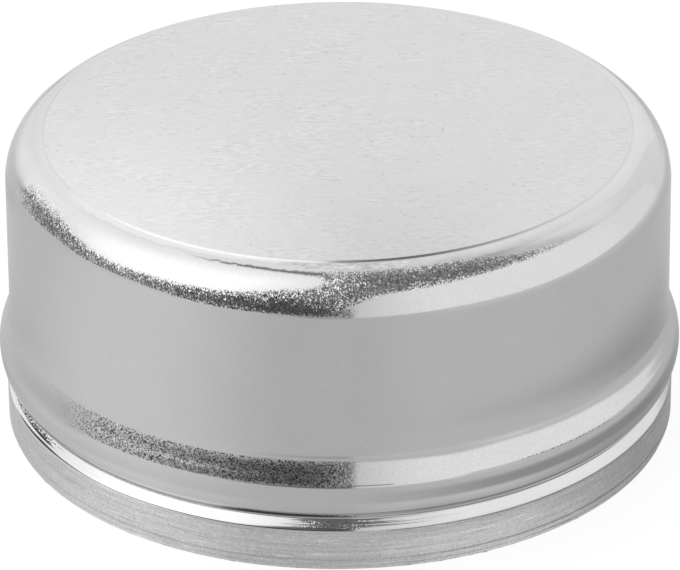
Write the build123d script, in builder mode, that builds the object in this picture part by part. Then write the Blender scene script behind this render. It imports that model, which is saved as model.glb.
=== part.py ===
from build123d import *
from math import acos, atan2, cos, degrees, radians, sin, tan
import os

# Hub grease cap: a round cup drawn from one sheet, with a rolled bead and a skirt that presses into a hub.
# +Z is up along the cap's axis, and the open rim stands on Z = 0.

# Driving dimensions, in millimetres and degrees
sheet_thickness = 1.0
overall_height = 25.75

# Skirt: the cylinder that presses into the hub's bore, with a lead-in at its rim
skirt_diameter = 55.5
skirt_height = 3.6
lead_in_width = 0.18
lead_in_height = 0.45

# Shoulder and neck: above the skirt the sheet steps in
shoulder_rise = 0.86
shoulder_edge_radius = 0.2
neck_depth = 0.6
neck_bend_radius = 0.12

# Bead: the round roll that stops the cap at the hub's face
bead_overhang = 0.54
bead_curve = 3.36
bead_root_radius = 5.0

# Wall and corner: the drawn cup, slightly narrower at the top
wall_inset = 0.35
wall_draft = 0.4
corner_radius = 3.9

# Face: the flat disc that the punch leaves a little proud, reaching over the start of the corner
face_rise = 0.07
face_overlap = 0.6
face_flank_angle = 40.0
face_edge_radius = 0.12

# Places on the outside of the sheet that follow from them, as radius and height
skirt_radius = skirt_diameter / 2
shoulder_edge = Vector(skirt_radius, skirt_height)
neck = Vector(skirt_radius - neck_depth, skirt_height + shoulder_rise)
bead_axis_radius = skirt_radius + bead_overhang - bead_curve
bead_height = neck.Y + bead_curve * sin(acos((neck.X - bead_axis_radius) / bead_curve))
wall_foot = Vector(skirt_radius - wall_inset, bead_height)
crest_height = overall_height - face_rise


def direction(angle):
    """Unit vector of the section at an angle above level, in degrees."""
    return Vector(cos(radians(angle)), sin(radians(angle)))


# Angles that the sheet's outside faces, and the centres of its bends, which both sides of the sheet share
wall_facing = wall_draft
shoulder_facing = degrees(atan2(neck_depth, shoulder_rise))
bead_centre = Vector(bead_axis_radius, bead_height)

root_reach = bead_curve + bead_root_radius
root_offset = bead_root_radius + (wall_foot - bead_centre).dot(direction(wall_facing))
root_facing = wall_facing + degrees(acos(root_offset / root_reach))
root_centre = bead_centre + direction(root_facing) * root_reach

neck_reach = bead_curve + neck_bend_radius
neck_offset = neck_bend_radius + (shoulder_edge - bead_centre).dot(direction(shoulder_facing))
neck_facing = shoulder_facing - degrees(acos(neck_offset / neck_reach))
neck_centre = bead_centre + direction(neck_facing) * neck_reach

corner_height = crest_height - corner_radius
corner_climb = corner_height - bead_height
corner_inset = corner_climb * tan(radians(wall_draft)) + corner_radius / cos(radians(wall_draft))
corner_centre = Vector(wall_foot.X - corner_inset, corner_height)


def sheet_side(inset):
    """Half section within one side of the sheet: the outside at no inset, the inside at one gauge."""
    ceiling = crest_height - inset
    skirt_wall = skirt_radius - inset
    shoulder_foot = skirt_height - inset * tan(radians(shoulder_facing / 2))
    with BuildSketch(Plane.XZ) as side:
        with BuildLine():
            axis = Line((0, 0), (0, ceiling))
            corner = CenterArc(corner_centre, corner_radius - inset, 90, wall_facing - 90)
            root_turn = root_facing - wall_facing
            root = CenterArc(root_centre, bead_root_radius + inset, 180 + wall_facing, root_turn)
            CenterArc(bead_centre, bead_curve - inset, root_facing, neck_facing - root_facing)
            neck_turn = shoulder_facing - neck_facing
            neck_bend = CenterArc(neck_centre, neck_bend_radius + inset, 180 + neck_facing, neck_turn)
            Line(axis @ 1, corner @ 0)
            Line(corner @ 1, root @ 0)
            Polyline(neck_bend @ 1, (skirt_wall, shoulder_foot), (skirt_wall, 0), axis @ 0)
        make_face()
        # A bend tighter than the gauge is sharp on its inside
        edge_bend = shoulder_edge_radius - inset
        if edge_bend > 0:
            fillet(side.vertices().sort_by_distance((skirt_wall, shoulder_foot, 0))[0], edge_bend)
    return side.sketch


with BuildPart() as grease_cap:
    revolve(sheet_side(0), axis=Axis.Z)

    # The proud face, whose flank runs down into the corner and whose border is rounded
    face_radius = corner_centre.X + face_overlap
    face_depth = sheet_thickness / 2
    flank_width = face_depth / tan(radians(face_flank_angle))
    with BuildSketch(Plane.XZ):
        with BuildLine():
            Polyline(
                (0, overall_height),
                (face_radius, overall_height),
                (face_radius + flank_width, overall_height - face_depth),
                (0, overall_height - face_depth),
                close=True,
            )
        make_face()
    revolve(axis=Axis.Z)
    fillet(grease_cap.faces().sort_by(Axis.Z)[-1].edges(), face_edge_radius)

    # The hollow, one gauge inside
    revolve(sheet_side(sheet_thickness), axis=Axis.Z, mode=Mode.SUBTRACT)

    # The lead-in at the rim's outer edge
    rim = grease_cap.faces().sort_by(Axis.Z)[0]
    rim_edge = rim.edges().sort_by(SortBy.RADIUS)[-1]
    chamfer(rim_edge, length=lead_in_width, length2=lead_in_height, reference=rim)

grease_cap.part.label = "grease_cap"
os.makedirs("parts", exist_ok=True)
export_step(grease_cap.part, "parts/grease_cap.step")
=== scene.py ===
# %% [markdown]
# # A hub grease cap in bright drawn steel
#
# The cap is a shallow round cup, pressed from one sheet of steel. It closes the end of a wheel hub and keeps
# the grease in. From the top down it has a flat face, a rounded corner, a plain wall, a rolled bead, a narrow
# neck, a sloping shoulder and the short skirt that is pressed into the hub.
#
# The imported CAD model is loaded first and stays as it is.

from math import acos, atan2, cos, degrees, radians, sin, sqrt, tan

import bpy
from mathutils import Matrix, Vector


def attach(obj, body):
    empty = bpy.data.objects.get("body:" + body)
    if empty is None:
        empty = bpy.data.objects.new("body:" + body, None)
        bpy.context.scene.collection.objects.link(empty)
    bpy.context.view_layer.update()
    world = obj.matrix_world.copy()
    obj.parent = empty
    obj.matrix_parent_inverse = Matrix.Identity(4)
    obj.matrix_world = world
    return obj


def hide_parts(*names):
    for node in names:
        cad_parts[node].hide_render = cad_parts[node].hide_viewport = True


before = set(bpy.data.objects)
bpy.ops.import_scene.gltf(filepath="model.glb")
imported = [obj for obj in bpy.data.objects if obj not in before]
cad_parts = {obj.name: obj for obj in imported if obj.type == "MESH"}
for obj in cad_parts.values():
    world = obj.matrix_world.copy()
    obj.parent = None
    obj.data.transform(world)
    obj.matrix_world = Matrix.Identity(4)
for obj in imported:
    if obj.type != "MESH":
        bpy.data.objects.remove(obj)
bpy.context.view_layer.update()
MM = 0.001

# %% [markdown]
# ## The camera
#
# The cap was photographed from a little above, with a long lens. A camera could be aimed by eye, but a turned
# shape offers a surer way: the ellipses of its edges fix the height, the lens and the small roll of the picture.
# The numbers below are what those ellipses gave. The picture is a crop, so the lens is shifted a little.

# %% Where the camera stands
camera_rise = radians(27.622)
camera_roll = radians(-0.441)
camera_distance = 416.25 * MM
aim_height = 12.4875 * MM

back = Vector((0, -cos(camera_rise), sin(camera_rise)))
level_up = back.cross(Vector((1, 0, 0)))
right = Vector((1, 0, 0)) * cos(camera_roll) + level_up * sin(camera_roll)
up = level_up * cos(camera_roll) - Vector((1, 0, 0)) * sin(camera_roll)
eye = Vector((0, 0, aim_height)) + back * camera_distance
print("eye", [round(c, 4) for c in eye])

# %% Camera
IMAGE_WIDTH = 680
focal_pixels = 5018.3
crop_shift = (0.00153, -0.02442)

bpy.ops.object.select_all(action="DESELECT")
bpy.ops.object.camera_add()
camera = bpy.context.object
camera.name = "camera"
camera.matrix_world = Matrix.Translation(eye) @ Matrix((right, up, back)).transposed().to_4x4()
camera.data.sensor_fit = "HORIZONTAL"
camera.data.sensor_width = 36.0
camera.data.lens = focal_pixels / IMAGE_WIDTH * camera.data.sensor_width
camera.data.shift_x, camera.data.shift_y = crop_shift
bpy.context.scene.camera = camera
print("lens", round(camera.data.lens, 1))

# %% [markdown]
# ## The section of the sheet
#
# A drawn cup is a body of revolution, so everything about its shape is in one half section. The section could
# be typed in as a list of points, but a toolmaker draws it with straight runs and bends, and that is done here:
# the bends turn about the same centres as in the CAD model, and both sides of the sheet share them. The sizes
# are in millimetres, as a radius from the axis and a height above the rim. Angles are in degrees.

# %% Sizes of the section
gauge = 1.0
height = 25.75
skirt_radius, skirt_height = 27.75, 3.6
lead_in_width, lead_in_height = 0.18, 0.45
shoulder_rise, shoulder_edge_bend = 0.86, 0.2
neck_depth, neck_bend = 0.6, 0.12
bead_overhang, bead_bend, root_bend = 0.54, 3.36, 5.0
wall_inset, wall_draft = 0.35, 0.4
corner_bend = 3.9
face_rise, face_overlap, face_slope, face_edge_bend = 0.07, 0.6, 40.0, 0.12
print("skirt", 2 * skirt_radius, "wide, cap", height, "tall")

# %% [markdown]
# Each bend has to meet its neighbours without a kink. The bead's centre follows from how far it overhangs the
# skirt and how deep the neck is. The two small bends beside it touch the bead and the next straight run, and
# that fixes their centres: the sum of the two radii is one side of a triangle, and the distance to the run is
# another.


# %% Centres of the bends
def facing(angle):
    """Unit direction in the section, as radius and height, at an angle above level."""
    return Vector((cos(radians(angle)), sin(radians(angle))))


crest = height - face_rise
bead_axis = skirt_radius + bead_overhang - bead_bend
neck_drop = bead_bend * sin(acos((skirt_radius - neck_depth - bead_axis) / bead_bend))
bead_centre = Vector((bead_axis, skirt_height + shoulder_rise + neck_drop))
wall_foot = Vector((skirt_radius - wall_inset, bead_centre.y))
shoulder_edge = Vector((skirt_radius, skirt_height))
shoulder_facing = degrees(atan2(neck_depth, shoulder_rise))

root_reach = bead_bend + root_bend
root_offset = root_bend + (wall_foot - bead_centre).dot(facing(wall_draft))
root_facing = wall_draft + degrees(acos(root_offset / root_reach))
root_centre = bead_centre + facing(root_facing) * root_reach

neck_reach = bead_bend + neck_bend
neck_offset = neck_bend + (shoulder_edge - bead_centre).dot(facing(shoulder_facing))
neck_facing = shoulder_facing - degrees(acos(neck_offset / neck_reach))
neck_centre = bead_centre + facing(neck_facing) * neck_reach

corner_climb = crest - corner_bend - bead_centre.y
corner_inset = corner_climb * tan(radians(wall_draft)) + corner_bend / cos(radians(wall_draft))
corner_centre = Vector((wall_foot.x - corner_inset, crest - corner_bend))
print("bead", bead_centre[:], "root", root_centre[:], "neck", neck_centre[:], "corner", corner_centre[:])

# %% [markdown]
# ## Drawing the section
#
# A plane is added and its four corners are merged to one point on the axis, which is the pen. Straight runs are
# extruded from it, and a bend is the pen spun about the bend's centre. Where a run meets a bend, a short first
# and last part keeps the shading of the bend from creeping along the run.

# %% The pen
bpy.ops.object.select_all(action="DESELECT")
bpy.ops.mesh.primitive_plane_add(size=2 * MM, location=(0, 0, 0))
cap = bpy.context.object
cap.name = "cap_shell"
bpy.ops.object.mode_set(mode="EDIT")
bpy.ops.mesh.select_mode(type="VERT")
bpy.ops.mesh.select_all(action="SELECT")
bpy.ops.mesh.merge(type="CENTER")
bpy.ops.transform.translate(value=(0, 0, height * MM))
pen = Vector((0.0, height))


def run(radius, level, shares=(1.0,)):
    """Draws a straight run to a place, with a point at each share of the way."""
    global pen
    start, goal = pen.copy(), Vector((radius, level))
    for share in shares:
        place = start.lerp(goal, share)
        step = (place - pen) * MM
        bpy.ops.mesh.extrude_vertices_move(TRANSFORM_OT_translate={"value": (step.x, 0, step.y)})
        pen = place


def bend(centre, turn, steps):
    """Spins the pen about a bend's centre. A positive turn goes from the face towards the wall."""
    global pen
    bpy.ops.mesh.spin(
        steps=steps,
        angle=radians(-turn),
        center=(centre.x * MM, 0, centre.y * MM),
        axis=(0, 1, 0),
    )
    arm = pen - centre
    now = degrees(atan2(arm.y, arm.x)) - turn
    pen = centre + facing(now) * arm.length


def evenly(parts, ends):
    """Equal shares of a run, with one more point near each end."""
    return [ends + (1 - 2 * ends) * i / parts for i in range(parts + 1)] + [1.0]


print("pen at", pen[:])

# %% [markdown]
# The outside comes first. The face stands a hair proud of the corner, so it ends in a tiny rounded edge and a
# short flank, and those make the fine ring round the face. The flank is followed down until it meets the corner's
# bend.

# %% Face and corner
face_edge = Vector((corner_centre.x + face_overlap - face_edge_bend * tan(radians(face_slope / 2)), height))
run(face_edge.x, face_edge.y, evenly(16, ends=0.004))
bend(face_edge - Vector((0, face_edge_bend)), face_slope, steps=5)

flank = facing(-face_slope)
arm = pen - corner_centre
reach = -arm.dot(flank) - sqrt(arm.dot(flank) ** 2 - arm.length_squared + corner_bend**2)
flank_foot = pen + flank * reach
run(flank_foot.x, flank_foot.y)

arm = pen - corner_centre
corner_start = degrees(atan2(arm.y, arm.x))
bend(corner_centre, corner_start - wall_draft, steps=52)
print("corner ends at", pen[:])

# %% [markdown]
# The wall has a slight draft, so that the cup comes off the punch. The bead below it is what stops the cap when
# it is driven into the hub. It is rolled out of the same sheet, with a wide bend at its root and a tight one at
# the neck.

# %% Wall, bead and neck
wall_end = root_centre - facing(wall_draft) * root_bend
run(wall_end.x, wall_end.y, evenly(20, ends=0.01))
bend(root_centre, wall_draft - root_facing, steps=20)
bend(bead_centre, root_facing - neck_facing, steps=56)
bend(neck_centre, neck_facing - shoulder_facing, steps=16)
print("neck ends at", pen[:])

# %% [markdown]
# The shoulder slopes out again to the skirt, the part that grips the hub. The lead-in at the skirt's foot guides
# it into the bore.

# %% Shoulder and skirt
edge_reach = shoulder_edge_bend * tan(radians(shoulder_facing / 2))
shoulder_end = shoulder_edge - facing(shoulder_facing - 90) * edge_reach
run(shoulder_end.x, shoulder_end.y, shares=(0.08, 0.5, 0.92, 1.0))
bend(shoulder_end - facing(shoulder_facing) * shoulder_edge_bend, shoulder_facing, steps=8)
run(skirt_radius, lead_in_height, evenly(8, ends=0.01))
narrow_ends = (0.1, 0.9, 1.0)
run(skirt_radius - lead_in_width, 0, narrow_ends)
print("outside ends at", pen[:])

# %% [markdown]
# The inside follows the same bends, one gauge nearer to their centres or further from them, back to the axis.
# It needs fewer points, because it is seen only from below.

# %% Rim and inside of the sheet
run(skirt_radius - gauge, 0, narrow_ends)
inner_foot = skirt_height - gauge * tan(radians(shoulder_facing / 2))
run(skirt_radius - gauge, inner_foot, shares=(0.5, 1.0))
inner_neck = neck_centre - facing(shoulder_facing) * (neck_bend + gauge)
run(inner_neck.x, inner_neck.y)
bend(neck_centre, shoulder_facing - neck_facing, steps=14)
bend(bead_centre, neck_facing - root_facing, steps=24)
bend(root_centre, root_facing - wall_draft, steps=10)
inner_top = corner_centre + facing(wall_draft) * (corner_bend - gauge)
run(inner_top.x, inner_top.y, evenly(4, ends=0.02))
bend(corner_centre, wall_draft - 90, steps=20)
run(0, crest - gauge, evenly(3, ends=0.02))
print("inside ends at", pen[:])

# %% [markdown]
# ## Turning the section
#
# On the real press the sheet is pulled over a round punch. Here the section is spun once round the axis. A full
# spin leaves a seam and many points on the axis, so doubles are merged before the normals are worked out.

# %% Spin
facets = 320
bpy.ops.mesh.select_all(action="SELECT")
bpy.ops.mesh.spin(steps=facets, angle=radians(360), center=(0, 0, 0), axis=(0, 0, 1))
bpy.ops.mesh.select_all(action="SELECT")
bpy.ops.mesh.remove_doubles(threshold=0.002 * MM)
bpy.ops.mesh.normals_make_consistent(inside=False)
bpy.ops.mesh.select_all(action="DESELECT")
bpy.ops.object.mode_set(mode="OBJECT")
print("points:", len(cap.data.vertices))

# %% [markdown]
# The sheet is trimmed at the rim, and a trimmed edge is never quite clean. The outer points of the rim are
# shaken a little at random and lifted by as much, so that none of them reaches below the table. A bump could not
# do this, because the edge is seen as an outline. The seed keeps the rim the same in every run.

# %% Ragged rim
burr = 0.08 * MM
rim_top = 0.005 * MM
rim_inside = (skirt_radius - 0.3) * MM
for point in cap.data.vertices:
    point.select = point.co.z < rim_top and point.co.xy.length > rim_inside
bpy.ops.object.mode_set(mode="EDIT")
bpy.ops.transform.vertex_random(offset=burr, uniform=0.3, seed=5)
bpy.ops.transform.translate(value=(0, 0, burr))
bpy.ops.object.mode_set(mode="OBJECT")
bpy.ops.object.shade_smooth_by_angle(angle=radians(24))
cap.data.calc_loop_triangles()
print("triangles:", len(cap.data.loop_triangles), "box:", cap.dimensions[:])

# %% [markdown]
# ## Shader maths
#
# A node's output is wrapped, so that sums and products of it can be written as in any program. Each one adds a
# Math node. Every other node comes from the one method add.


# %% Wire
class Wire:
    """One output of a node tree, or a bare tree to start from."""

    def __init__(self, tree, socket=None):
        self.tree = tree
        self.socket = socket

    def add(self, kind, settings=None, inputs=None, output=0):
        """Adds a node, sets it up, fills its sockets with values or wires, and gives one of its outputs."""
        node = self.tree.nodes.new(kind)
        for name, value in (settings or {}).items():
            setattr(node, name, value)
        for name, value in (inputs or {}).items():
            by_name = [s for s in node.inputs if s.enabled and s.name == name]
            socket = node.inputs[name] if isinstance(name, int) else by_name[0]
            if isinstance(value, Wire):
                self.tree.links.new(value.socket, socket)
            else:
                socket.default_value = value
        outputs = [s for s in node.outputs if s.enabled and output in (0, s.name)]
        return Wire(self.tree, outputs[0] if outputs else None)

    def math(self, operation, *values):
        """A Math node on these values."""
        return self.add("ShaderNodeMath", {"operation": operation}, dict(enumerate(values)))

    def __add__(self, other):
        return self.math("ADD", self, other)

    def __sub__(self, other):
        return self.math("SUBTRACT", self, other)

    def __rsub__(self, other):
        return self.math("SUBTRACT", other, self)

    def __mul__(self, other):
        return self.math("MULTIPLY", self, other)

    def __truediv__(self, other):
        return self.math("DIVIDE", self, other)

    def __neg__(self):
        return self.math("MULTIPLY", self, -1.0)

    __radd__ = __add__
    __rmul__ = __mul__

    def step(self, start, end):
        """Goes smoothly from 0 at start to 1 at end."""
        sockets = {"Value": self, "From Min": start, "From Max": end}
        return self.add("ShaderNodeMapRange", {"interpolation_type": "SMOOTHSTEP"}, sockets)

    def between(self, low, high, soft):
        """One between two levels, with soft borders."""
        return self.step(low - soft, low + soft) * (1 - self.step(high - soft, high + soft))

    def vector(self, operation, *values):
        """A Vector Math node on these values."""
        return self.add("ShaderNodeVectorMath", {"operation": operation}, dict(enumerate(values)))

    def scaled(self, factor):
        """A vector made longer by a factor."""
        return self.add("ShaderNodeVectorMath", {"operation": "SCALE"}, {"Vector": self, "Scale": factor})

    def dot(self, vector):
        """A vector's share along a fixed direction."""
        return self.add("ShaderNodeVectorMath", {"operation": "DOT_PRODUCT"}, {0: self, 1: vector}, "Value")

    def axes(self):
        """The three coordinates of a vector."""
        return [self.add("ShaderNodeSeparateXYZ", None, {"Vector": self}, axis) for axis in "XYZ"]

    def length(self, across, up):
        """How far a place is from the middle, from its two coordinates."""
        place = self.add("ShaderNodeCombineXYZ", None, {"X": across, "Y": up})
        return self.add("ShaderNodeVectorMath", {"operation": "LENGTH"}, {"Vector": place}, "Value")

    def grey(self, value):
        """A neutral colour of this value."""
        return self.add("ShaderNodeCombineColor", None, {"Red": value, "Green": value, "Blue": value})


def bare(block):
    """Clears the nodes of a material or a world, and wraps its empty tree."""
    block.use_nodes = True
    block.node_tree.nodes.clear()
    return Wire(block.node_tree)


print("wires ready")

# %% [markdown]
# ## The metal
#
# The cap is bright plated steel. Plain metal with one roughness would do for a new ball, but a drawn cup is made
# up of zones: the face keeps the marks of the rolling mill, the corner and the bead are grained where the sheet
# was stretched, and the skirt has fine lines round it from the tools. So the material first works out where on
# the cap it is. It reads Object coordinates and turns them to millimetres, and every pair of numbers in a step
# below is a height above the rim, or a distance to the left or right of the axis, where something begins and
# where it is full.

# %% Places on the cap, in millimetres
steel = bpy.data.materials.new("bright_drawn_steel")
blank = bare(steel)
place = blank.add("ShaderNodeTexCoord", output="Object").scaled(1 / MM)
x, y, level = place.axes()
radius = blank.length(x, y)
along = level - radius


def spot(a, b, c):
    """A vector of three values."""
    return blank.add("ShaderNodeCombineXYZ", None, {"X": a, "Y": b, "Z": c})


def to_left(start, end):
    """Grows from 0 to 1 towards the left, between two distances from the axis."""
    return (-x).step(start, end)


def to_right(start, end):
    """Grows from 0 to 1 towards the right, between two distances from the axis."""
    return x.step(start, end)


print("places:", len(steel.node_tree.nodes), "nodes")

# %% Zones from the face down to the skirt
on_face = level.step(25.5, 25.7) * (1 - radius.step(23.9, 24.1))
on_ring = level.between(25.28, 25.72, 0.04) * (1 - on_face)
on_land = level.between(25.38, 25.60, 0.03) * (1 - on_face)
on_neck = level.between(4.34, 4.62, 0.04)
on_shoulder = level.between(3.7, 4.4, 0.1)
on_skirt = 1 - level.step(3.45, 3.65)
on_front = 1 - 0.85 * y.step(-6.0, 2.0)
print("zones:", len(steel.node_tree.nodes), "nodes")

# %% [markdown]
# ## Where the sheet is grained
#
# Stretching the sheet roughens it into fine grains, each tilted its own way. On the cap they sparkle in a strip
# round the corner and in another along the bead, and only where the dark of the room meets the light. A grain all
# over would dull the whole mirror, so it is kept to those strips. The strip on the corner is narrow and low at the
# left, crosses over in the middle, and thins out along the corner's upper side at the right. The back is not in
# the picture, and there the grain is nearly gone.

# %% Strip on the corner
strip_foot = 0.08 * to_left(0.0, 4.0) + 0.5 * to_left(8.0, 20.0) + 0.22 * to_left(20.0, 23.0)
strip_top = level + 0.5 * to_right(8.5, 16.5)
on_corner = (level - strip_foot).step(22.39, 22.51) * (1 - strip_top.step(25.28, 25.40)) * on_front

clear_foot = 1.1 * to_left(20.0, 22.5) + 0.6 * to_right(-10.5, -2.0)
clear_left = to_left(-0.3, 1.9) * (level - clear_foot).step(23.5, 24.0)
thinning = 0.7 * to_right(0.5, 5.0) + 0.20 * to_right(6.0, 9.0)
thinning = thinning + 0.15 * to_right(9.5, 13.5) + 0.1 * to_right(15.0, 17.0)
clear_right = to_right(0.0, 1.5) * (1 - (level - thinning).step(23.25, 23.65))
on_corner = on_corner * (1 - 0.95 * clear_left) * (1 - 0.95 * clear_right)

past_left = to_left(10.0, 15.0) * y.step(-9.2, -7.2)
on_corner = on_corner * (1 - past_left) * (1 - to_right(16.0, 18.8))
quiet = 1 - 0.65 * x.between(-6.0, 1.6, 1.0) * (1 - level.step(22.8, 23.3))
quiet = quiet - 0.25 * x.between(0.3, 5.0, 0.8) - 0.55 * to_right(7.0, 11.0)
print("corner:", len(steel.node_tree.nodes), "nodes")

# %% Strip on the bead, and nicks on the shoulder
faded = level.between(7.4, 9.9, 0.4) * to_left(18.2, 23.2)
on_bead = level.between(7.86, 9.76, 0.05) * on_front
on_bead = on_bead * (1 - faded) * (1 - 0.95 * to_right(-0.2, 1.6))
shoulder_top = level.step(3.98, 4.08) * (1 - level.step(4.28, 4.36)) * on_front
nicked = shoulder_top * x.between(-26.8, -23.2, 0.5) * 2.2
nicked = nicked + 0.6 * level.between(3.75, 4.3, 0.06) * x.between(-2.8, 2.4, 1.0) * on_front
stretched = on_corner * quiet + on_bead * 0.16 + nicked * 0.55
speckled = on_corner * (1 + 0.4 * to_right(6.0, 11.0)) + on_bead * 2.3 + nicked
print("bead:", len(steel.node_tree.nodes), "nodes")

# %% [markdown]
# ## The grain itself
#
# Noise alone gives soft clouds. A grain is a small flat facet with a border, so its tilt and its tone come from
# the cells of a Voronoi texture, and noise adds only the fine hairs between. The places are wrapped round the cap
# at about the bead's radius, so that the same number of grains goes round at every height.

# %% Textures that go round the cap
wrap_radius = 28.0
off_axis = radius.math("MAXIMUM", radius, 1.0)
round_x = x / off_axis * wrap_radius
round_y = y / off_axis * wrap_radius


def wrapped(across, down, shift=0.0):
    """A place round the cap, with so many marks to a millimetre across and down the sheet."""
    return spot(round_x * across + shift, round_y * across, along * down)


def noise(vector, scale=1.0, detail=1.0, roughness=0.5):
    """Cloudy values around one half."""
    sockets = {"Vector": vector, "Scale": scale, "Detail": detail, "Roughness": roughness}
    return blank.add("ShaderNodeTexNoise", None, sockets)


def grains(vector, scale):
    """One random colour for each grain."""
    return blank.add("ShaderNodeTexVoronoi", None, {"Vector": vector, "Scale": scale}, "Color")


print("wrapped textures:", len(steel.node_tree.nodes), "nodes")

# %% Grain and speckle
grain = noise(place, scale=6.0) * 0.010
hair = noise(wrapped(6.0, 2.0)) * 0.008
drawn = noise(spot(x * 0.05, y * 0.05, along * 5.0), roughness=0.6) * on_shoulder * 0.02
grain_height = (grain + hair) * (0.02 + 0.98 * stretched) + drawn

facet = grains(wrapped(1.0, 0.6), 11.0)
facet_tilt = facet.vector("SUBTRACT", facet, (0.5, 0.5, 0.5)).scaled(stretched * 0.30)
speckle = (grains(wrapped(1.0, 0.7, shift=3.3), 12.0).dot((1, 0, 0)) - 0.5) * speckled
print("grain:", len(steel.node_tree.nodes), "nodes")

# %% [markdown]
# ## Marks of the mill and the tools
#
# The face keeps short marks from rolling, which run from side to side, some swirls, a few bright glints and dark
# pits. They could be scratches in the shape, but they are far finer than its triangles. On the skirt the marks run
# round: long turned lines, pepper, bright dashes and dark scores. Noise that is squeezed in one direction gives
# all of them, and a step on it picks out the few strong ones.

# %% Rolling marks of the face
sway = noise(place, scale=0.25, detail=2.0) * 1.5
patchy = 0.45 + 0.9 * noise(place, scale=0.22, detail=2.0).step(0.42, 0.62)
scuffs = noise(spot(x * 1.1, y * 3.0 + sway, level), detail=2.0, roughness=0.6) - 0.5
swirls = noise(spot(x * 1.6 + y * 0.8, y * 2.6 - x * 0.5, level)) - 0.5
glints = noise(spot(x * 0.9, y * 4.0 + sway * 2.0, level)).step(0.66, 0.76) * to_left(-4.0, 8.0)
rolled = (scuffs * 0.6 + swirls * 0.5) * patchy
pits = noise(place, scale=2.4, detail=0.0).step(0.74, 0.80)
mottled = noise(place, scale=0.3) - 0.5 + (noise(place, scale=5.0, detail=0.0) - 0.5) * 1.2
print("rolling marks:", len(steel.node_tree.nodes), "nodes")

# %% Tool marks of the skirt
turned = noise(wrapped(0.09, 7.0), detail=3.0, roughness=0.7) - 0.5
peppered = noise(wrapped(5.0, 7.0)) - 0.5
dashes = noise(wrapped(0.45, 8.0), detail=0.0).step(0.70, 0.78)
scores = noise(wrapped(0.25, 9.0, shift=9.0), detail=0.0).step(0.70, 0.77)
print("tool marks:", len(steel.node_tree.nodes), "nodes")

# %% [markdown]
# Some single dark lines are painted too: a line along the bead, dotted further to the right, and two wavering
# lines of painted shade above the rim. Painted shade also darkens the crease where the shoulder turns into the
# skirt.

# %% Single lines
bead_foot = level - 0.08 * to_right(9.0, 14.0)
dotted = noise(wrapped(4.5, 0.0), detail=0.0).step(0.45, 0.60)
# A dark line painted along the bead, dotted further to the right.
dark_bead_line = bead_foot.between(7.89, 7.97, 0.03) * (x.between(0.8, 4.2, 0.3) + x.between(14.0, 21.5, 0.8) * dotted)
waver = noise(wrapped(0.2, 0.0))
# Painted shade: two wavering dark lines above the rim, darker to the right.
rim_line = (level + 0.1 * waver).between(0.90, 1.06, 0.05) * (0.45 + 0.55 * to_right(2.0, 9.0))
rim_line = rim_line + (level + 0.06 * waver).between(0.42, 0.52, 0.03) * (0.25 + 0.55 * to_right(3.0, 9.0))
# Painted shade: a dark line in the crease where the shoulder turns into the skirt, darker to the right.
crease_shade = level.between(3.46, 3.53, 0.03) * (to_right(2.5, 4.5) * 0.6 + 0.15)
print("lines:", len(steel.node_tree.nodes), "nodes")

# %% [markdown]
# ## How the surface leans
#
# A pressed sheet is never quite the drawing. A lean of a few degrees moves a reflection by millimetres, so small
# leans at the neck, the shoulder and the bead decide where their bright lines run. They were found by trying which
# lean puts a line where the picture has it. They could go into the section, but they change on the way round, and
# a turned shape is the same all round. So they are added to the normal: upwards where the surface leans back,
# downwards where it leans over.

# %% Leans of the shoulder, neck, bead and corner
wander = noise(wrapped(1.2, 0.5), detail=3.0, roughness=0.7) - 0.5
lean = on_shoulder * (0.11 * to_left(-1.0, 3.2) - 0.01 + 0.22 * to_left(19.0, 22.5))
lean = lean * (1 - 0.75 * to_left(23.2, 24.0) * level.step(3.95, 4.08)) + on_ring * wander * 0.35
neck_left = level.between(4.48, 5.3, 0.12) * to_left(7.0, 11.0)
lean = lean + 0.22 * neck_left

raised = 0.045 * to_right(9.0, 14.0) + 0.08 * to_right(15.0, 25.0)
lean = lean + raised * level.between(9.1, 10.3, 0.35)
lean = lean + 0.07 * to_right(22.5, 25.0) * level.between(8.8, 9.5, 0.3)
lean = lean - 0.05 * level.between(7.85, 8.08, 0.1) * x.between(9.5, 21.0, 1.5)
lean = lean + 0.09 * level.step(9.75, 10.2) * (1 - level.step(10.4, 12.8))
lean = lean - level.between(22.0, 24.4, 0.4) * (0.025 * to_left(1.0, 5.0) + 0.045 * to_left(19.5, 22.5))

bump = blank.add("ShaderNodeBump", None, {"Strength": 1.0, "Distance": MM, "Height": grain_height})
normal = bump.vector("ADD", bump.vector("ADD", bump, facet_tilt), spot(0.0, 0.0, lean))
normal = normal.vector("NORMALIZE", normal)
print("normal:", len(steel.node_tree.nodes), "nodes")

# %% [markdown]
# ## Tone and dullness
#
# The metal has no colour of its own, so its tone is one grey. The marks are added to it or taken away, and light
# and shade are painted in: painted shade darkens the recess at the neck, and painted light brightens the neck and
# the shoulder's edge at the left, the shoulder and the ring at the right, the skirt at the left and right of the
# middle, and the faded end of the bead. The speckle comes last, as a factor, so that it is as strong on dark metal
# as on light. The roughness follows the same zones: the face is a little dull, the grained strips more so, and the
# faded end of the bead and the line in the neck most.

# %% Tone of the metal
face_tone = rolled * (0.22 - 0.06 * to_right(0.0, 10.0)) + glints * 0.045 - pits * 0.09
land_tone = (scuffs * 0.8 - 0.06) * x.between(-4.0, 6.0, 1.5)
# Painted highlight: the ring round the face is painted lighter at the right.
marks_and_painted_shading = face_tone * on_face + mottled * 0.03 + land_tone * on_land + on_ring * to_right(6.0, 12.0) * 0.06

skirt_tone = turned * 0.48 + peppered * 0.42 + dashes * 0.16 - scores * 0.16
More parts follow.
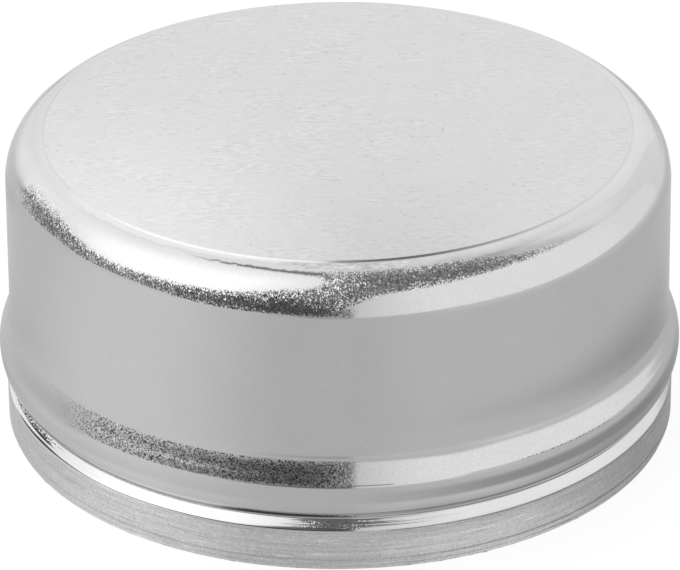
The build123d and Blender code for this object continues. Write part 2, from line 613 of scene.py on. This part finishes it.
# Painted light: the skirt is painted lighter at the left and in a band right of the middle.
skirt_tone = skirt_tone + 0.03 * to_left(8.0, 14.0) + 0.04 * x.between(6.0, 14.0, 2.5)
marks_and_painted_shading = marks_and_painted_shading + skirt_tone * on_skirt - dark_bead_line * 0.40 - rim_line * 0.31 - crease_shade * 0.40

# Painted shade: the recess at the neck is painted darker, most at the right and less at the far right.
recess = level.step(4.3, 4.6) * (1 - level.step(5.0, 6.4))
painted_shade_left = 0.05 * to_left(6.0, 9.0) + 0.07 * to_left(14.0, 20.0)
painted_shade_right = 0.05 * to_right(-9.0, -5.0) + 0.17 * to_right(2.0, 8.0) - 0.11 * to_right(20.0, 26.0)
# Painted light: the neck at the left is painted lighter.
neck_line = on_neck * to_left(7.0, 11.0)
marks_and_painted_shading = marks_and_painted_shading - recess * (painted_shade_left + painted_shade_right) + neck_line * 0.10 + neck_left * 0.14
# Painted light: the shoulder's edge at the left, the shoulder at the right and the faded end of the bead at the
# far left are painted lighter.
marks_and_painted_shading = marks_and_painted_shading + level.between(3.48, 3.72, 0.05) * to_left(10.0, 16.0) * 0.2
marks_and_painted_shading = marks_and_painted_shading + on_shoulder * to_right(6.0, 10.0) * 0.06 + faded * 0.07 * to_left(21.0, 24.0)
clean_tone = 0.70
shade = (clean_tone + marks_and_painted_shading) * (1 + 0.9 * speckle)
print("tone:", len(steel.node_tree.nodes), "nodes")

# %% Dullness of the metal
clean_dull = 0.10
leftwards = to_left(2.0, 20.0)
dull = clean_dull + on_face * 0.08 + (turned + 0.5) * on_skirt * 0.06
dull = dull + on_corner * (0.10 + 0.06 * leftwards) + on_bead * (0.14 + 0.16 * leftwards)
dull = dull + faded * 0.40 + neck_line * 0.40
dull = dull + on_ring * (0.15 * to_right(-2.0, 1.0) + 0.12 * to_right(5.0, 10.0) + 0.30 * to_left(19.5, 22.0))
dull = dull + 0.22 * level.between(21.5, 25.2, 0.6) * to_left(23.3, 25.0) * y.step(-8.5, -6.5)
print("dullness:", len(steel.node_tree.nodes), "nodes")

# %% The metal's shader
sockets = {
    "Base Color": blank.grey(shade),
    "Metallic": 1.0,
    "Roughness": dull,
    "Specular Tint": (0.93, 0.93, 0.93, 1),
    "Normal": normal,
}
surface = blank.add("ShaderNodeBsdfPrincipled", None, sockets)
blank.add("ShaderNodeOutputMaterial", None, {"Surface": surface})
cap.data.materials.clear()
cap.data.materials.append(steel)
print("metal:", len(steel.node_tree.nodes), "nodes")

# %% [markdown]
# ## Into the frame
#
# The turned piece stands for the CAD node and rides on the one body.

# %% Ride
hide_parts("grease_cap")
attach(cap, "root")
print("cap rides on root")

# %% [markdown]
# ## The table
#
# The cap stands on a plain pale sheet. It starts as a square and is cut off along the foot of the wall at the
# right, so that the metal mirrors the wall there.

# %% Table
table_side = 0.8
table_place = (0, 0.25, 0)
wall_way = Vector((0.940, -0.342, 0.0))
wall_distance = 0.16
bpy.ops.object.select_all(action="DESELECT")
bpy.ops.mesh.primitive_plane_add(size=table_side, location=table_place)
table = bpy.context.object
table.name = "table"
bpy.ops.object.transform_apply(location=True, rotation=True, scale=True)
bpy.ops.object.mode_set(mode="EDIT")
bpy.ops.mesh.select_all(action="SELECT")
bpy.ops.mesh.bisect(plane_co=wall_way * wall_distance, plane_no=wall_way, clear_outer=True)
bpy.ops.object.mode_set(mode="OBJECT")
print("table corners", [[round(c, 3) for c in v.co] for v in table.data.vertices])

# %% [markdown]
# Bright metal mirrors the table, so the tones of the table are part of the cap's look. Lamps could make them, but
# then one change moves them all. Here they are drawn on the sheet, by how far a place is from the cap and on which
# side of it: a middle grey that is lighter at the left, the shadow that the cap throws, the light and dark that it
# throws back close to the rim, lighter ends further out, and the sheet's bright sweep behind the cap. Distances
# are in metres here.

# %% Tones of the table
white = bpy.data.materials.new("white_table")
sheet = bare(white)
spread = sheet.add("ShaderNodeTexCoord", output="Object")
reach = sheet.add("ShaderNodeVectorMath", {"operation": "LENGTH"}, {"Vector": spread}, "Value")
share = spread.dot((1, 0, 0)) / reach
front = spread.dot((0, -1, 0)) / reach
pool = 0.57 + 0.19 * (-share).step(0.2, 0.85) + 0.045 * share.step(0.1, 0.4) - 0.02 * share.step(0.8, 1.0)
pool = pool - 0.10 * (-share).step(0.3, 0.7) * (1 - front.step(-0.26, 0.4))
print("pool:", len(white.node_tree.nodes), "nodes")

# %% Shadow, light thrown back and lighter ends
shadow = 0.27 * share.step(-0.05, 0.75) * (1 - reach.step(0.039, 0.053)) * front.step(-0.8, 0.25)
shadow = shadow + 0.10 * (-share).step(0.6, 0.9) * (1 - reach.step(0.030, 0.050))
bounce = 0.08 * share.between(0.1, 0.62, 0.12) - 0.19 * share.step(0.6, 0.95)
bounce = bounce + 0.07 * (-share).between(0.3, 0.75, 0.15) - 0.10 * (-share).step(0.75, 0.97)
near = 1 - reach.step(0.0315, 0.034)
pool = pool - shadow * (1 - near) + bounce * near

pool = pool + 0.08 * share.step(0.3, 0.7) * reach.step(0.068, 0.13)
pool = pool + 0.18 * share.step(0.3, 0.7) * reach.step(0.10, 0.20) * (1 - front.step(-0.5, -0.1))
pool = pool + 0.13 * (-share).step(0.3, 0.5) * reach.step(0.085, 0.12) * (1 - front.step(-0.7, -0.4))
wide = sheet.math("ABSOLUTE", spread.dot((1, 0, 0)) + 0.005)
sweep = spread.dot((0, 1, 0)).step(0.042, 0.050) * (1 - wide.step(0.042, 0.058))
sweep_tone = 0.95
pool = pool + (sweep_tone - pool) * sweep
print("tones:", len(white.node_tree.nodes), "nodes")

# %% [markdown]
# The camera sees the same sheet nearly white, as the page of a catalogue, with a faint real shadow on it. Light
# Path tells the two apart. The white is made of some glow and some diffuse, and only the diffuse part can darken
# under the cap.

# %% The table's shader
lit = sheet.add("ShaderNodeEmission", None, {"Color": sheet.grey(pool), "Strength": 1.0})
faint = sheet.add("ShaderNodeBsdfDiffuse", None, {"Color": (0.22, 0.22, 0.22, 1)})
glow = sheet.add("ShaderNodeEmission", None, {"Color": (0.86, 0.86, 0.86, 1), "Strength": 1.0})
seen = sheet.add("ShaderNodeAddShader", None, {0: faint, 1: glow})
to_camera = sheet.add("ShaderNodeLightPath", output="Is Camera Ray")
lit = sheet.add("ShaderNodeMixShader", None, {0: to_camera, 1: lit, 2: seen})
sheet.add("ShaderNodeOutputMaterial", None, {"Surface": lit})
table.data.materials.append(white)
print("table", table.dimensions[:], len(white.node_tree.nodes), "nodes")

# %% [markdown]
# ## The paper behind the cap
#
# The face lies flat and mirrors what stands low behind the cap. That is a sheet of white paper, close by. It is
# a little brighter at its upper left and has a soft darker patch beside that, which gives the face its slight
# change of tone. Only the mirror sees the paper: the camera doesn't, and it throws no shadow.

# %% Paper
paper_side = 0.12
paper_place = (0, 0.06, 0.09)
bpy.ops.object.select_all(action="DESELECT")
bpy.ops.mesh.primitive_plane_add(size=paper_side, location=paper_place, rotation=(radians(90), 0, 0))
paper = bpy.context.object
paper.name = "paper"
bpy.ops.object.transform_apply(location=True, rotation=True, scale=True)
glowing = bpy.data.materials.new("lit_paper")
page = bare(glowing)
spread = page.add("ShaderNodeTexCoord", output="Object")
across, tall = spread.dot((1, 0, 0)), spread.dot((0, 0, 1))
tone = 0.99 + 0.20 * tall.step(0.050, 0.067) * (1 - across.step(-0.020, -0.001))
tone = tone - 0.13 * tall.step(0.061, 0.068) * across.between(-0.001, 0.014, 0.004)
shine = page.add("ShaderNodeEmission", None, {"Color": page.grey(tone), "Strength": 1.0})
page.add("ShaderNodeOutputMaterial", None, {"Surface": shine})
paper.data.materials.append(glowing)
paper.visible_camera = False
paper.visible_shadow = False
paper.visible_diffuse = False
print("paper", paper.dimensions[:])

# %% [markdown]
# ## The room
#
# A softbox hangs over the cap on the left, a white wall stands at the right, and the room behind is white. The
# side where the photographer stands is dark. That is what bright metal needs, because it shows nothing but its
# surroundings. Lamps and boards could be set up one by one, but a world that is drawn by direction gives the same
# mirror with less noise. Each thing in it is a mask, one where that direction meets it.

# %% Backdrop and wall
room = bpy.data.worlds.new("room")
bpy.context.scene.world = room
air = bare(room)
way = air.add("ShaderNodeTexCoord", output="Generated")
sideways, behind, above = way.axes()
aside = air.math("ABSOLUTE", sideways)
hang = 0.12 - 0.045 * (1 - aside.step(0.06, 0.18))
backdrop = (behind - hang * above - 0.9 * aside - 0.04 * (-sideways).step(0.3, 0.6)).step(0.0, 0.04)

wall_along = (-0.342, -0.940, 0.0)
to_wall = way.dot(wall_way)
wall_front = way.dot(wall_along) / to_wall
wall_rise = above / to_wall
wall = to_wall.step(0.02, 0.06) * (1 - (wall_rise - 0.22 * wall_front).step(1.04, 1.11))
wall = wall * wall_front.between(-1.95, 2.25, 0.05)
print("backdrop and wall:", len(room.node_tree.nodes), "nodes")

# %% [markdown]
# The softbox is flat, so a direction is turned into a place on it: along its length and up its height, each
# divided by the distance. Its near end is round, its far end is cut at a slant, and it is brightest in the middle.

# %% Softbox
box_way = (-0.6367, -0.1971, 0.7455)
box_length_way = (0.5735, -0.7674, 0.2869)
box_height_way = (0.5155, 0.6102, 0.6016)
to_box = way.dot(box_way)
box_long = way.dot(box_length_way) / to_box
box_tall = way.dot(box_height_way) / to_box
box_end = air.math("MAXIMUM", box_long - 0.20, 0.0) / 0.55
box_reach = air.length(box_end, (box_tall - 0.07) / 0.66)
box_left = (box_tall + 1.57 * box_long).step(-1.40, -1.28)
box = to_box.step(0.05, 0.1) * (1 - box_reach.step(0.94, 1.05))
box = box * air.math("MAXIMUM", box_left, box_tall.step(0.12, 0.20))
box_fade = air.length(box_end, air.math("MAXIMUM", box_tall, 0.0) / 0.72).step(0.1, 1.0)
box_tone = 1.12 + 0.35 * (1 - box_fade) * box_long.step(-0.8, -0.25)
print("softbox:", len(room.node_tree.nodes), "nodes")

# %% [markdown]
# What is left is the dark of the room, which is lifted a little overhead and at both sides. The things are laid
# over it one after the other. The camera sees plain white.

# %% The room put together
lift = sideways.step(0.36, 0.50) * behind.step(-0.10, 0.16)
lift = lift + 0.62 * sideways.step(0.10, 0.28) * behind.step(0.04, 0.26) * (1 - sideways.step(0.36, 0.50))
lift = lift + 1.3 * (-sideways).step(0.24, 0.32) * above.step(0.6, 0.75)
tone = 0.062 + 0.103 * above.step(0.45, 0.65) + (0.52 + 0.28 * behind.step(0.18, 0.42)) * lift
backdrop_tone = 0.99 - sideways * 0.175
wall_tone = 1.0 - 0.07 * behind.step(0.0, 0.5) - 0.22 * wall_front.step(0.6, 2.0)
tone = tone + backdrop * (backdrop_tone - tone)
tone = tone + wall * (wall_tone - tone)
tone = tone + box * (box_tone - tone)
to_camera = air.add("ShaderNodeLightPath", output="Is Camera Ray")
tone = to_camera + (1 - to_camera) * tone
light = air.add("ShaderNodeBackground", None, {"Color": air.grey(tone), "Strength": 1.0})
air.add("ShaderNodeOutputWorld", None, {"Surface": light})
bpy.context.scene.view_settings.view_transform = "Standard"
print("room:", len(room.node_tree.nodes), "nodes")
